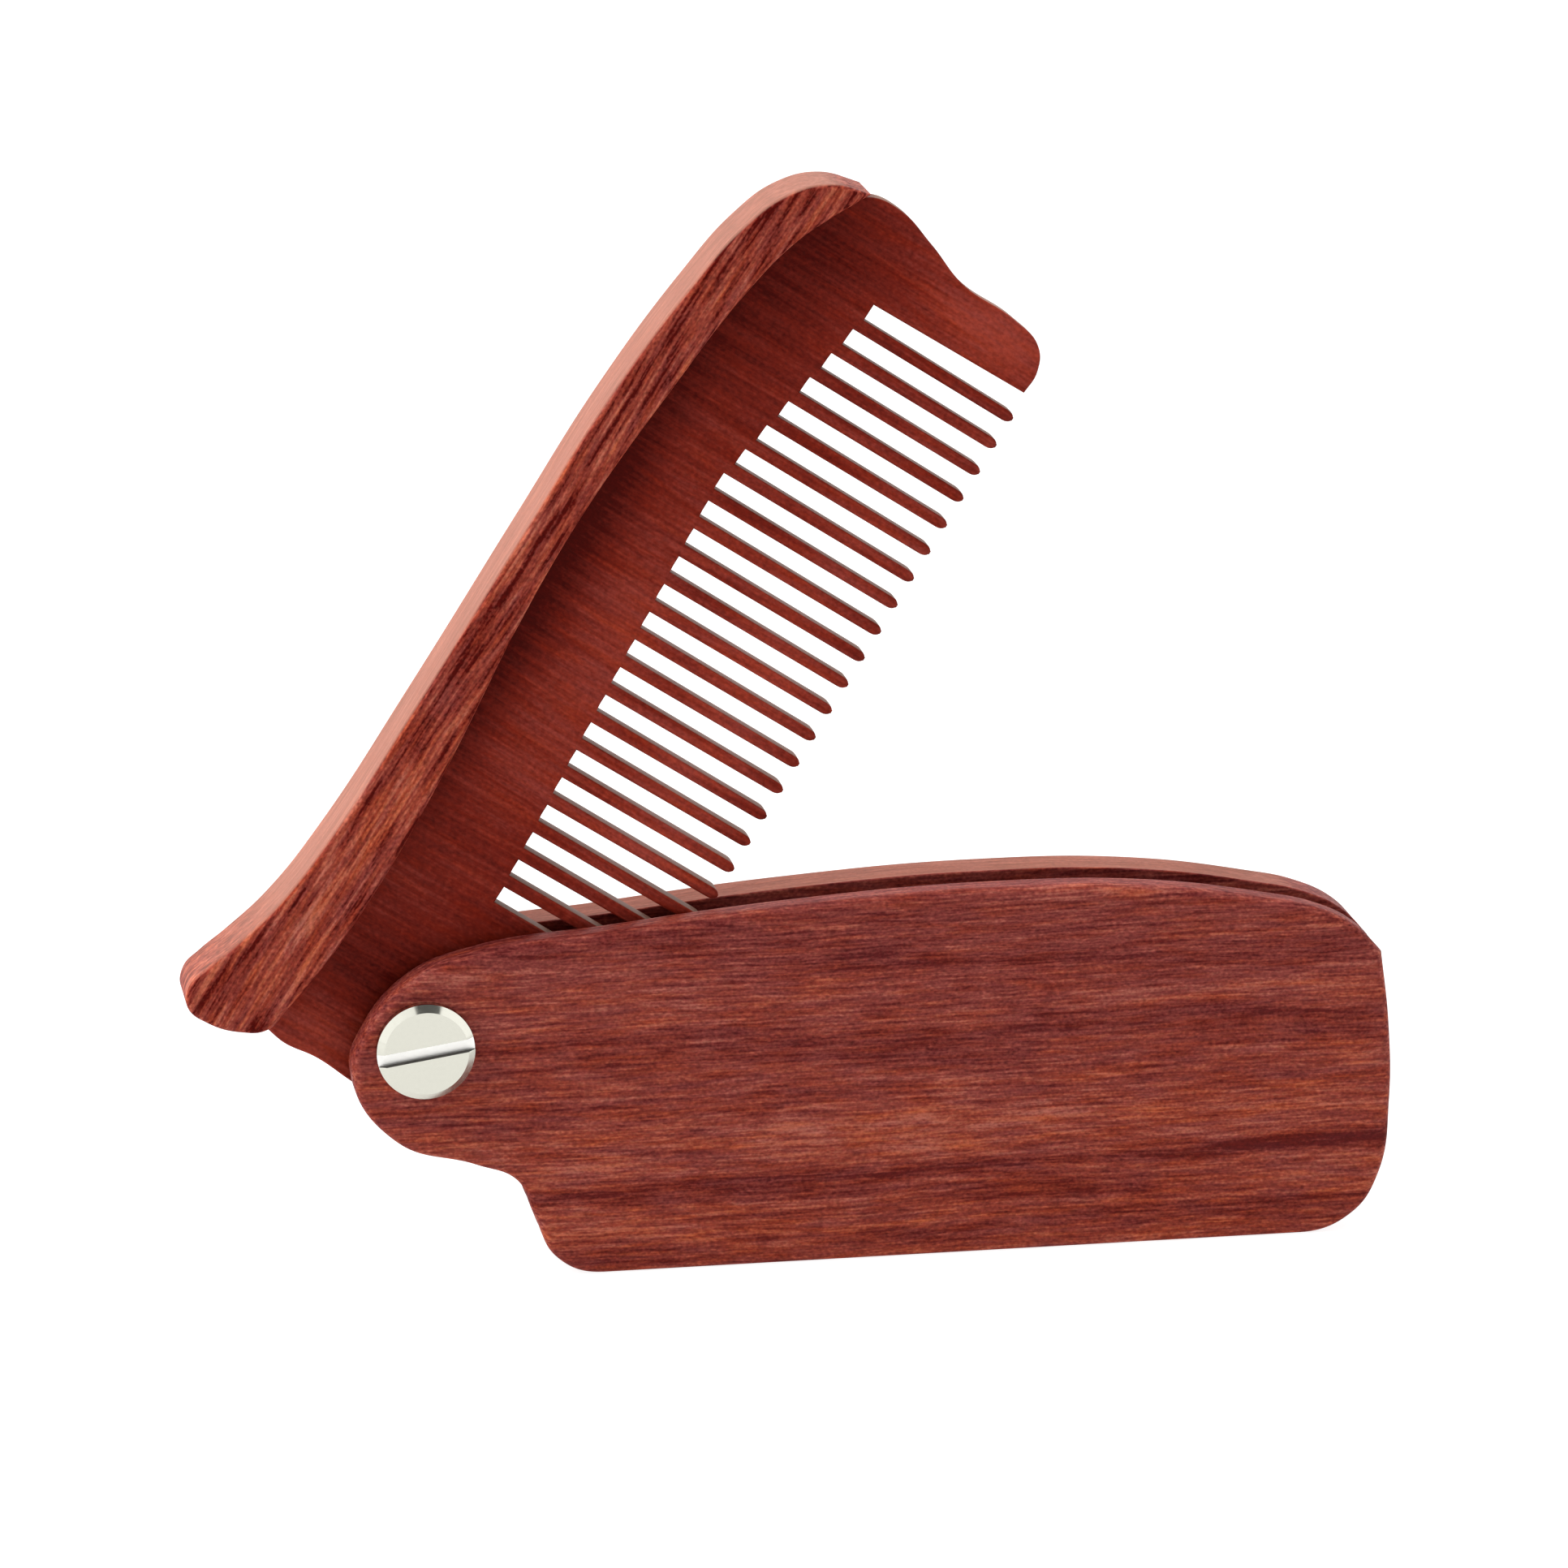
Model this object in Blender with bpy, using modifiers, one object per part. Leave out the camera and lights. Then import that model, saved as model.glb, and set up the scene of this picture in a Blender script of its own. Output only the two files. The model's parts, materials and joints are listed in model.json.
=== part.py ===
"""Folding wooden comb: a toothed blade that swings out of a slotted sheath.

The comb stands on the flat bottom edge of its sheath, half open.
Frame: X along the sheath, Y through its thickness, Z up, in metres.
The origin is the middle of the flat foot; the pivot's axis runs along Y.
The outlines are drawn in millimetres from the pivot, with the comb closed,
because its teeth are then upright and its spine follows the sheath's top.
"""
import math

import bmesh
import bpy
from mathutils import Matrix, Vector

MM = 0.001

# Driving dimensions, in millimetres and degrees.
GAP = 0.3                    # between pieces that touch or run in each other
BLADE_THICKNESS = 2.5
SLOT_WIDTH = 3.3             # between the two scales
GROOVE_WIDTH = BLADE_THICKNESS + 2 * GAP
SPINE_THICKNESS = 7.6
SPINE_EDGE_RADIUS = 0.45
BLADE_CHAMFER = 0.3
# The slot lies nearer the front: that scale is thinner and rounder.
# Each rim is slimmer along the foot, so that the sheath stands firmly.
SCALES = [
    # name, side of the slot, thickness, rim radius, the same at the foot, steps
    ("front_scale", -1, 3.2, 1.4, 0.5, 3),
    ("back_scale", 1, 4.9, 0.6, 0.35, 2),
]
FRONT_FACE = -(SLOT_WIDTH / 2 + SCALES[0][2])
BACK_FACE = SLOT_WIDTH / 2 + SCALES[1][2]

FOOT_LEFT, FOOT_RIGHT = 18.5, 91.5   # flat stretch of the bottom edge
FOOT_DROP = 25.1             # pivot's height above the foot
FOOT_MIDDLE = (FOOT_LEFT + FOOT_RIGHT) / 2
OPEN_ANGLE = 57.0            # degrees that the comb stands open
SPACER_HEIGHT = 4.0

TOOTH_COUNT = 22
TOOTH_PITCH = 3.17
GAP_AT_ROOT = 1.75           # clear width between two teeth
GAP_AT_TIP = 1.95
TOOTH_ROUND = 1.5            # height of the bullet-shaped tip
FIRST_GAP_X = 87.45          # wall of the tip guard
TIPS_FIRST, TIPS_LAST = -16.55, -18.1
ROOT_FIRST, ROOT_PEAK, ROOT_LAST = 1.6, 5.3, 1.15
ROOT_PEAK_GAP = 7            # the gap where the root line bends

BARREL_RADIUS = 2.5
BORE_RADIUS = 1.8
BORE_DEPTH = 6.5
SHANK_RADIUS = 1.5
SHANK_LENGTH = 6.0
HEAD_RADIUS = 5.0
HEAD_HEIGHT = 1.25
HEAD_BEVEL = 0.42
DRIVER_SLOT_WIDTH = 1.05
DRIVER_SLOT_DEPTH = 0.7
DRIVER_SLOT_TURN = 8.5       # degrees, rising towards +X

# Outline rows: x, z, kind. S is a smooth point and C a corner. The other
# kinds have handles of a set reach in x or z: F ends the flat foot, A is the
# apex of a tooth's round tip, and B is where that tip leaves the tooth's side.
ARC_HANDLE = 0.55            # handle of a quarter ellipse, as a share of it
HANDLE_REACH = {
    "F": (2.2, 0.0),
    "A": ((TOOTH_PITCH - GAP_AT_TIP) / 2 * ARC_HANDLE, 0.0),
    "B": (0.0, TOOTH_ROUND * ARC_HANDLE),
}
SHEATH_OUTLINE = [
    (-7.4, -2.6, "S"), (-6.1, 1.9, "S"), (-1.3, 7.3, "S"), (5.0, 9.7, "S"),
    (19.0, 11.3, "S"), (38.0, 13.1, "S"), (59.0, 14.0, "S"), (75.0, 13.4, "S"),
    (87.5, 11.4, "S"), (92.4, 10.2, "S"), (96.6, 8.1, "S"),
    (99.5, 5.1, "C"), (100.5, -2.6, "S"),
    (100.8, -11.0, "S"), (99.8, -19.2, "S"), (97.1, -23.2, "S"),
    (FOOT_RIGHT, -FOOT_DROP, "F"), (FOOT_LEFT, -FOOT_DROP, "F"),
    (13.5, -23.4, "S"), (11.1, -18.6, "S"), (9.3, -14.7, "S"),
    (5.2, -12.8, "S"), (-3.0, -9.9, "S"),
]
SPINE_OUTLINE = [
    (-9.0, 20.2, "S"), (-8.6, 22.7, "S"), (-6.6, 23.8, "S"), (-4.2, 23.3, "S"),
    (-1.0, 22.2, "S"), (4.5, 20.7, "S"), (13.0, 19.8, "S"), (30.0, 19.65, "S"),
    (50.5, 19.9, "S"), (66.0, 20.0, "S"), (80.2, 19.0, "S"), (87.6, 17.8, "S"),
    (92.5, 15.8, "S"), (95.6, 12.6, "S"), (96.8, 8.6, "C"),
    (92.6, 10.8, "S"), (88.6, 12.5, "S"), (82.0, 13.9, "S"), (70.0, 15.0, "S"),
    (55.0, 15.75, "S"), (42.0, 15.2, "S"), (27.0, 13.6, "S"), (13.0, 12.8, "S"),
    (2.3, 13.1, "S"), (-3.8, 13.9, "S"), (-6.6, 14.5, "S"), (-8.1, 16.6, "S"),
]
# The blade's plain edge, from the base guard's foot round the tang, along
# the groove in the spine and round the tip guard.
BLADE_EDGE = [
    (15.8, -17.2, "C"), (14.1, -18.3, "S"), (12.3, -16.8, "S"),
    (11.2, -12.4, "S"), (8.2, -8.8, "S"), (3.0, -7.6, "S"), (-3.6, -6.7, "S"),
    (-7.1, -2.4, "S"), (-7.5, 2.6, "S"), (-7.1, 7.8, "S"), (-7.3, 12.6, "S"),
    (-5.4, 16.6, "S"), (-1.5, 18.0, "S"), (6.0, 17.6, "S"), (16.0, 17.1, "S"),
    (40.0, 17.0, "S"), (66.0, 17.1, "S"), (80.0, 16.1, "S"), (88.0, 14.4, "S"),
    (92.8, 11.7, "S"), (96.4, 7.9, "S"), (96.9, 4.8, "S"), (95.6, -0.1, "S"),
    (93.9, -5.0, "S"), (93.6, -11.6, "S"), (92.6, -15.1, "S"),
    (90.3, -16.5, "S"), (87.85, -16.5, "C"),
]
SPACER_TOP = SPACER_HEIGHT - FOOT_DROP
SPACER_OUTLINE = [
    (FOOT_LEFT - 1.5, SPACER_TOP, "C"), (98.2, SPACER_TOP, "C"),
    (96.1, -23.5, "S"), (FOOT_RIGHT - 1.0, -FOOT_DROP, "F"),
    (FOOT_LEFT, -FOOT_DROP, "C"),
]
CURVE_STEPS = 6              # straight steps between two outline points
HOLE_POINTS = 6

WOOD_SHEATH = (0.245, 0.048, 0.032, 1.0)
WOOD_SPINE = (0.230, 0.045, 0.030, 1.0)
WOOD_BLADE = (0.155, 0.018, 0.011, 1.0)
NICKEL = (0.760, 0.760, 0.730, 1.0)

STAND = Matrix.Rotation(math.radians(90), 4, "X")   # curve plane to XZ


def clear_scene():
    for obj in list(bpy.data.objects):
        bpy.data.objects.remove(obj, do_unlink=True)


def new_collection(name):
    collection = bpy.data.collections.new(name)
    bpy.context.scene.collection.children.link(collection)
    return collection


def make_material(name, colour, roughness, metallic=0.0):
    material = bpy.data.materials.new(name)
    material.use_nodes = True
    shader = material.node_tree.nodes["Principled BSDF"]
    shader.inputs["Base Color"].default_value = colour
    shader.inputs["Roughness"].default_value = roughness
    shader.inputs["Metallic"].default_value = metallic
    material.diffuse_color = colour
    return material


def bezier_outline(curve, rows):
    """Add one closed Bezier outline, in metres, from rows of x, z, kind."""
    spline = curve.splines.new("BEZIER")
    spline.use_cyclic_u = True
    spline.bezier_points.add(len(rows) - 1)
    types = {"S": "AUTO", "C": "VECTOR"}
    for index, (x, z, kind) in enumerate(rows):
        point = spline.bezier_points[index]
        point.co = Vector((x, z, 0.0)) * MM
        point.handle_left_type = types.get(kind, "ALIGNED")
        point.handle_right_type = types.get(kind, "ALIGNED")
        if kind in HANDLE_REACH:
            before_x, before_z, _ = rows[index - 1]
            reach_x, reach_z = HANDLE_REACH[kind]
            back = Vector((math.copysign(reach_x, before_x - x),
                           math.copysign(reach_z, before_z - z), 0.0)) * MM
            point.handle_left = point.co + back
            point.handle_right = point.co - back
    return spline


def round_hole(curve, radius):
    """Add a circle round the pivot, which the fill leaves open."""
    spline = curve.splines.new("BEZIER")
    spline.use_cyclic_u = True
    spline.bezier_points.add(HOLE_POINTS - 1)
    for index, point in enumerate(spline.bezier_points):
        turn = 2 * math.pi * index / HOLE_POINTS
        point.co = Vector((math.cos(turn), math.sin(turn), 0.0)) * radius * MM
        point.handle_left_type = point.handle_right_type = "AUTO"


def plate(name, rows, thickness, y_middle, collection, hole_radius=0.0):
    """A flat plate standing in XZ, cut to an outline, as a closed mesh."""
    curve = bpy.data.curves.new(name, "CURVE")
    curve.dimensions = "2D"
    curve.fill_mode = "BOTH"
    curve.resolution_u = CURVE_STEPS
    curve.extrude = thickness / 2 * MM
    bezier_outline(curve, rows)
    if hole_radius:
        round_hole(curve, hole_radius)
    guide = bpy.data.objects.new(name + "_outline", curve)
    bpy.context.scene.collection.objects.link(guide)
    guide.matrix_world = Matrix.Translation((0, y_middle * MM, 0)) @ STAND
    bpy.context.view_layer.update()

    depsgraph = bpy.context.evaluated_depsgraph_get()
    mesh = bpy.data.meshes.new_from_object(guide.evaluated_get(depsgraph))
    mesh.name = name
    cleaned = bmesh.new()
    cleaned.from_mesh(mesh)
    bmesh.ops.remove_doubles(cleaned, verts=cleaned.verts, dist=0.00001)
    bmesh.ops.dissolve_limit(cleaned, angle_limit=math.radians(0.05),
                             verts=cleaned.verts, edges=cleaned.edges)
    cleaned.transform(guide.matrix_world)
    bmesh.ops.recalc_face_normals(cleaned, faces=cleaned.faces)
    cleaned.to_mesh(mesh)
    cleaned.free()
    bpy.data.objects.remove(guide, do_unlink=True)

    obj = bpy.data.objects.new(name, mesh)
    collection.objects.link(obj)
    return obj


def round_rim(obj, width, segments, sides, lowest=-1.1, foot_width=None):
    """Bevel the outer rim of the flat faces that look along these Y sides.

    Where the outline looks down more steeply than lowest, it stays crisp.
    With a foot_width, the rim narrows to that where the outline looks down.
    """
    shape = bmesh.new()
    shape.from_mesh(obj.data)
    weight = shape.edges.layers.float.new("bevel_weight_edge")
    for edge in shape.edges:
        normals = sorted((f.normal for f in edge.link_faces),
                         key=lambda normal: abs(normal.y))
        wall, flat = normals[0], normals[-1]
        x, _, z = (edge.verts[0].co + edge.verts[1].co) / 2
        outside = math.hypot(x, z) > (BARREL_RADIUS + 2 * GAP) * MM
        on_rim = abs(wall.y) < 0.1 and round(flat.y) in sides
        if on_rim and outside and wall.z > lowest:
            downward = min(max(-wall.z - 0.4, 0.0) / 0.6, 1.0)
            narrowing = 1.0 - (foot_width or width) / width
            edge[weight] = 1.0 - narrowing * downward
    shape.to_mesh(obj.data)
    shape.free()
    bevel = obj.modifiers.new("round_rim", "BEVEL")
    bevel.width = width * MM
    bevel.segments = segments
    bevel.limit_method = "WEIGHT"


def apply_modifier_mesh(obj):
    """Swap the object's mesh for its evaluated one."""
    bpy.context.view_layer.update()
    depsgraph = bpy.context.evaluated_depsgraph_get()
    mesh = bpy.data.meshes.new_from_object(obj.evaluated_get(depsgraph))
    mesh.name = obj.name
    obj.modifiers.clear()
    obj.vertex_groups.clear()
    obj.data = mesh


def cut(obj, cutter):
    """Cut with EXACT; the big flat faces are triangles first, for the solver."""
    obj.modifiers.new("triangles", "TRIANGULATE")
    boolean = obj.modifiers.new(cutter.name, "BOOLEAN")
    boolean.operation = "DIFFERENCE"
    boolean.solver = "EXACT"
    boolean.object = cutter
    apply_modifier_mesh(obj)
    cutter.hide_render = True
    cutter.display_type = "WIRE"


def finish(obj, material, parent=None):
    """Give the piece its material, smooth shading and parent."""
    obj.data.materials.clear()
    obj.data.materials.append(material)
    obj.data.shade_smooth()
    obj.data.set_sharp_from_angle(angle=math.radians(35))
    obj.parent = parent
    return obj


def build_scale(row, parts, material, pivot):
    """One wooden side plate, with its outer rim rounded."""
    name, side, thickness, radius, foot_radius, steps = row
    y_middle = side * (SLOT_WIDTH + thickness) / 2
    obj = plate(name, SHEATH_OUTLINE, thickness, y_middle, parts,
                hole_radius=BARREL_RADIUS + GAP)
    round_rim(obj, radius, steps, [side], foot_width=foot_radius)
    return finish(obj, material, pivot)


def build_spacer(parts, material, pivot):
    obj = plate("spacer", SPACER_OUTLINE, SLOT_WIDTH - 2 * GAP, 0.0, parts)
    return finish(obj, material, pivot)


def turned(name, profile, collection, steps=48):
    """A turned piece along Y, from rows of radius, y, outer side first."""
    mesh = bpy.data.meshes.new(name)
    rows = [(radius * MM, 0.0, y * MM) for radius, y in profile]
    mesh.from_pydata(rows, [(i, i + 1) for i in range(len(rows) - 1)], [])
    obj = bpy.data.objects.new(name, mesh)
    collection.objects.link(obj)
    screw = obj.modifiers.new("turn", "SCREW")
    screw.axis = "Z"
    screw.steps = screw.render_steps = steps
    screw.use_merge_vertices = True
    screw.merge_threshold = 0.00001
    screw.use_normal_calculate = True
    apply_modifier_mesh(obj)
    turned_mesh = bmesh.new()
    turned_mesh.from_mesh(obj.data)
    turned_mesh.transform(Matrix.Rotation(math.radians(-90), 4, "X"))
    bmesh.ops.recalc_face_normals(turned_mesh, faces=turned_mesh.faces)
    turned_mesh.to_mesh(obj.data)
    turned_mesh.free()
    return obj


def head_profile(face_y, seat_y):
    """Rows of a flat head with a bevelled rim, from its face to its seat."""
    inward = math.copysign(HEAD_BEVEL, seat_y - face_y)
    return [(0.0, face_y), (HEAD_RADIUS - HEAD_BEVEL, face_y),
            (HEAD_RADIUS, face_y + inward), (HEAD_RADIUS, seat_y)]


def build_pivot_screw(parts, cutters, material, pivot):
    """The slotted head and the shank that turns into the post."""
    seat = FRONT_FACE - GAP
    face = seat - HEAD_HEIGHT
    shank_end = seat + SHANK_LENGTH
    profile = head_profile(face, seat) + [
        (SHANK_RADIUS, seat), (SHANK_RADIUS, shank_end), (0.0, shank_end)]
    obj = turned("pivot_screw", profile, parts)
    mesh = bpy.data.meshes.new("driver_slot")
    shape = bmesh.new()
    bmesh.ops.create_cube(shape, size=1.0)
    size = (HEAD_RADIUS * 3, DRIVER_SLOT_DEPTH * 2, DRIVER_SLOT_WIDTH)
    bmesh.ops.scale(shape, vec=Vector(size) * MM, verts=shape.verts)
    shape.transform(Matrix.Translation((0, face * MM, 0))
                    @ Matrix.Rotation(math.radians(-DRIVER_SLOT_TURN), 4, "Y"))
    shape.to_mesh(mesh)
    shape.free()
    slot = bpy.data.objects.new("driver_slot", mesh)
    cutters.objects.link(slot)
    cut(obj, slot)
    return finish(obj, material, pivot)


def build_pivot_post(parts, material, pivot):
    """The bored barrel that carries the comb, with its plain back head."""
    seat = BACK_FACE + GAP
    barrel_end = FRONT_FACE + GAP
    bore_end = barrel_end + BORE_DEPTH
    profile = head_profile(seat + HEAD_HEIGHT, seat) + [
        (BARREL_RADIUS, seat), (BARREL_RADIUS, barrel_end),
        (BORE_RADIUS, barrel_end), (BORE_RADIUS, bore_end), (0.0, bore_end)]
    return finish(turned("pivot_post", profile, parts), material, pivot)


def root_height(gap):
    """Height of the closed end of a gap; the root line bends once."""
    if gap <= ROOT_PEAK_GAP:
        return ROOT_FIRST + (ROOT_PEAK - ROOT_FIRST) * gap / ROOT_PEAK_GAP
    share = (gap - ROOT_PEAK_GAP) / (TOOTH_COUNT - ROOT_PEAK_GAP)
    return ROOT_PEAK + (ROOT_LAST - ROOT_PEAK) * share


def tooth_rows():
    """Corner rows of all gaps and teeth, from the tip guard to the base."""
    spread = (GAP_AT_TIP - GAP_AT_ROOT) / 2
    rows = []
    for gap in range(TOOTH_COUNT + 1):
        right = FIRST_GAP_X - gap * TOOTH_PITCH
        left = right - GAP_AT_ROOT
        root = root_height(gap)
        rows += [(right, root, "C"), (left, root, "C")]
        if gap == TOOTH_COUNT:
            break
        tip = TIPS_FIRST + (TIPS_LAST - TIPS_FIRST) * gap / (TOOTH_COUNT - 1)
        middle = left - (TOOTH_PITCH - GAP_AT_ROOT) / 2
        half = (TOOTH_PITCH - GAP_AT_ROOT) / 2 - spread
        shoulder = tip + TOOTH_ROUND
        rows += [(middle + half, shoulder, "B"), (middle, tip, "A"),
                 (middle - half, shoulder, "B")]
    return rows


def build_blade(parts, material, pivot):
    """The thin toothed blade, with a hole for the post in its tang."""
    rows = BLADE_EDGE + tooth_rows()
    obj = plate("tooth_blade", rows, BLADE_THICKNESS, 0.0, parts,
                hole_radius=BARREL_RADIUS + GAP)
    round_rim(obj, BLADE_CHAMFER, 1, [-1, 1])
    return finish(obj, material, pivot)


def groove_rows():
    """The blade's edge inside the spine, grown by the gap, closed below."""
    inside = [row for row in BLADE_EDGE if row[1] > 7.0]
    grown = []
    for index, (x, z, kind) in enumerate(inside):
        before = Vector(inside[max(index - 1, 0)][:2])
        after = Vector(inside[min(index + 1, len(inside) - 1)][:2])
        along = (after - before).normalized()
        grown.append((x - along.y * GAP, z + along.x * GAP, kind))
    first, last = grown[0], grown[-1]
    return [(first[0], 2.0, "C")] + grown + [(last[0], 2.0, "C")]


def build_spine(parts, cutters, material, pivot):
    """The thick back strip with its horn, grooved for the blade."""
    obj = plate("spine", SPINE_OUTLINE, SPINE_THICKNESS, 0.0, parts)
    round_rim(obj, SPINE_EDGE_RADIUS, 2, [-1, 1], lowest=-0.7)
    apply_modifier_mesh(obj)
    cut(obj, plate("blade_groove", groove_rows(), GROOVE_WIDTH, 0.0, cutters))
    return finish(obj, material, pivot)


def main():
    clear_scene()
    parts = new_collection("folding_comb")
    cutters = new_collection("cutters")

    sheath_wood = make_material("sheath_wood", WOOD_SHEATH, 0.45)
    spine_wood = make_material("spine_wood", WOOD_SPINE, 0.42)
    blade_wood = make_material("blade_wood", WOOD_BLADE, 0.38)
    nickel = make_material("nickel_plate", NICKEL, 0.22, metallic=1.0)

    sheath_pivot = bpy.data.objects.new("sheath_pivot", None)
    comb_pivot = bpy.data.objects.new("comb_pivot", None)
    for empty in (sheath_pivot, comb_pivot):
        empty.location = Vector((-FOOT_MIDDLE, 0.0, FOOT_DROP)) * MM
        parts.objects.link(empty)
    comb_pivot.rotation_euler.y = -math.radians(OPEN_ANGLE)

    for row in SCALES:
        build_scale(row, parts, sheath_wood, sheath_pivot)
    build_spacer(parts, sheath_wood, sheath_pivot)
    build_pivot_screw(parts, cutters, nickel, sheath_pivot)
    build_pivot_post(parts, nickel, sheath_pivot)
    build_blade(parts, blade_wood, comb_pivot)
    build_spine(parts, cutters, spine_wood, comb_pivot)
    bpy.context.view_layer.update()


if __name__ == "__main__":
    main()
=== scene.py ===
"""Looks of a folding wooden comb, laid out as an add-on and run as a script.

The sheath's side plates, the pivot, the blade with its teeth and the spine are
each built by an operator of their own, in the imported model's frame: metres,
X along the sheath, Y through its thickness, Z up, origin in the flat foot.
Outlines are drawn in millimetres from the pivot, with the comb folded shut.
"""

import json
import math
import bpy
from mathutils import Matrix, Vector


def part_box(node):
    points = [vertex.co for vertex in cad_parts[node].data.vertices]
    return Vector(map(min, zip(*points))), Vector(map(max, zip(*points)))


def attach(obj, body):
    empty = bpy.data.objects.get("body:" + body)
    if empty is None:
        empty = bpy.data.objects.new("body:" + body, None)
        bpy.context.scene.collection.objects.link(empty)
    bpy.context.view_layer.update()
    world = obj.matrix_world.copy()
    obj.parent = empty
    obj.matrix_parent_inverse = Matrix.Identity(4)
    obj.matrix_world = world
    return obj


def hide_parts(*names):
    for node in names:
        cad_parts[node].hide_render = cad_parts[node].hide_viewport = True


bl_info = {
    "name": "Folding Comb",
    "version": (1, 0, 0),
    "blender": (4, 5, 0),
    "location": "View3D > Sidebar > Comb",
    "description": "Builds a folding wooden comb and its studio",
    "category": "Object",
}

import bmesh
import bpy
from bpy.props import (
    FloatProperty,
    FloatVectorProperty,
    IntProperty,
    PointerProperty,
)
from mathutils import Euler, Matrix, Vector

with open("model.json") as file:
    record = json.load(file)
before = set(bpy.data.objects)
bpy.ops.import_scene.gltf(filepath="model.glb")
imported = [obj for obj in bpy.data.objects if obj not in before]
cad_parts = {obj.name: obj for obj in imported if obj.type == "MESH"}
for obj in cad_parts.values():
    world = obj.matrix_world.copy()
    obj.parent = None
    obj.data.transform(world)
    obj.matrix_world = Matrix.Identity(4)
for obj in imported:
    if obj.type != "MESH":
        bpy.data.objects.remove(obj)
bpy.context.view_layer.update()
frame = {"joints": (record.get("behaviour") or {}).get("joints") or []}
MM = 0.001

FOLD = frame["joints"][0]
PIVOT = Vector(FOLD["pos_m"])
REST_TURN = math.radians(FOLD["range_deg"][0])    # from folded shut to rest
SHEATH_PLACE = Matrix.Translation(PIVOT)
COMB_PLACE = SHEATH_PLACE @ Matrix.Rotation(REST_TURN, 4, "Y")
STAND = Matrix.Rotation(math.radians(90), 4, "X")    # curve plane to XZ

# The way that the walls with a painted sheen face; the paler colour there
# stands in for grazing reflection. The plates' is up, the spine's outwards,
# and that of the blade and teeth away from the pivot.
FRONT_PAINTED_SHEEN_WAY = Vector((0, 0.6, 0.8))
BACK_PAINTED_SHEEN_WAY = Vector((0, 0, 1))
SPINE_PAINTED_SHEEN_WAY = Vector((-0.5, 0, 0.866))
BLADE_PAINTED_SHEEN_WAY = COMB_PLACE.to_3x3() @ Vector((1, 0, 0))

FRONT_LOW, FRONT_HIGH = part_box("front_scale")
BACK_LOW, BACK_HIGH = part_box("back_scale")
BLADE_LOW, BLADE_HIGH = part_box("tooth_blade")
SPINE_LOW, SPINE_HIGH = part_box("spine")
SCREW_LOW, SCREW_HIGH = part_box("pivot_screw")
POST_LOW, POST_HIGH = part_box("pivot_post")

# Teeth, in mm. The gaps are counted from the wall of the tip's guard, and
# each tooth starts inside the blade.
TOOTH_COUNT = 22
TOOTH_PITCH = 3.17
TOOTH_LENGTH = 23.5
GAP_AT_ROOT, GAP_AT_TIP = 1.75, 1.95
FIRST_GAP_X = 87.45
TIPS_FIRST, TIPS_LAST = -17.0, -18.5
ROOT_FIRST, ROOT_PEAK, ROOT_LAST, ROOT_PEAK_GAP = 1.6, 5.3, 1.15, 7
ROOT_HIGHEST = 5.6
TOOTHED_FROM, TOOTHED_TO = -20, 73

# Hidden parts of the screw and its post.
SHANK_RADIUS = 1.5 * MM
BARREL_RADIUS = 2.5 * MM
BORE_RADIUS, BORE_DEPTH = 1.8 * MM, 6.5 * MM
HEAD_SLOPE = math.radians(40)

HAIR = 0.02 * MM        # keeps two touching walls out of one plane

# Outline rows: x, z and kind. S is a smooth point, C a corner, and F an end of
# the flat foot, whose handles lie level.
FOOT_REACH = 2.2
SHEATH_OUTLINE = (
    (-7.4, -2.6, "S"), (-6.1, 1.9, "S"), (-1.3, 7.3, "S"), (5.0, 9.7, "S"),
    (19.0, 11.3, "S"), (38.0, 13.1, "S"), (59.0, 14.0, "S"), (75.0, 13.4, "S"),
    (87.5, 11.4, "S"), (92.4, 10.2, "S"), (96.6, 8.1, "S"),
    (99.5, 5.1, "C"), (100.5, -2.6, "S"),
    (100.8, -11.0, "S"), (99.8, -19.2, "S"), (97.1, -23.2, "S"),
    (91.5, -25.1, "F"), (18.5, -25.1, "F"),
    (13.5, -23.4, "S"), (11.1, -18.6, "S"), (9.3, -14.7, "S"),
    (5.2, -12.8, "S"), (-3.0, -9.9, "S"),
)
SPACER_OUTLINE = (
    (17.0, -21.1, "C"), (98.2, -21.1, "C"), (96.1, -23.5, "S"),
    (90.5, -25.1, "F"), (18.5, -25.1, "C"),
)
SPINE_OUTLINE = (
    (-9.0, 20.2, "S"), (-8.6, 22.7, "S"), (-6.6, 23.8, "S"), (-4.2, 23.3, "S"),
    (-1.0, 22.2, "S"), (4.5, 20.7, "S"), (13.0, 19.8, "S"), (30.0, 19.65, "S"),
    (50.5, 19.9, "S"), (66.0, 20.0, "S"), (80.2, 19.0, "S"), (87.6, 17.8, "S"),
    (92.5, 15.8, "S"), (95.6, 12.6, "S"), (96.8, 8.6, "C"),
    (92.6, 10.8, "S"), (88.6, 12.5, "S"), (82.0, 13.9, "S"),
    (70.0, 15.0, "S"), (55.0, 15.75, "S"), (42.0, 15.2, "S"),
    (27.0, 13.6, "S"), (13.0, 12.8, "S"), (2.3, 13.1, "S"),
    (-3.8, 13.9, "S"), (-6.6, 14.5, "S"), (-8.1, 16.6, "S"),
)
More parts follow.
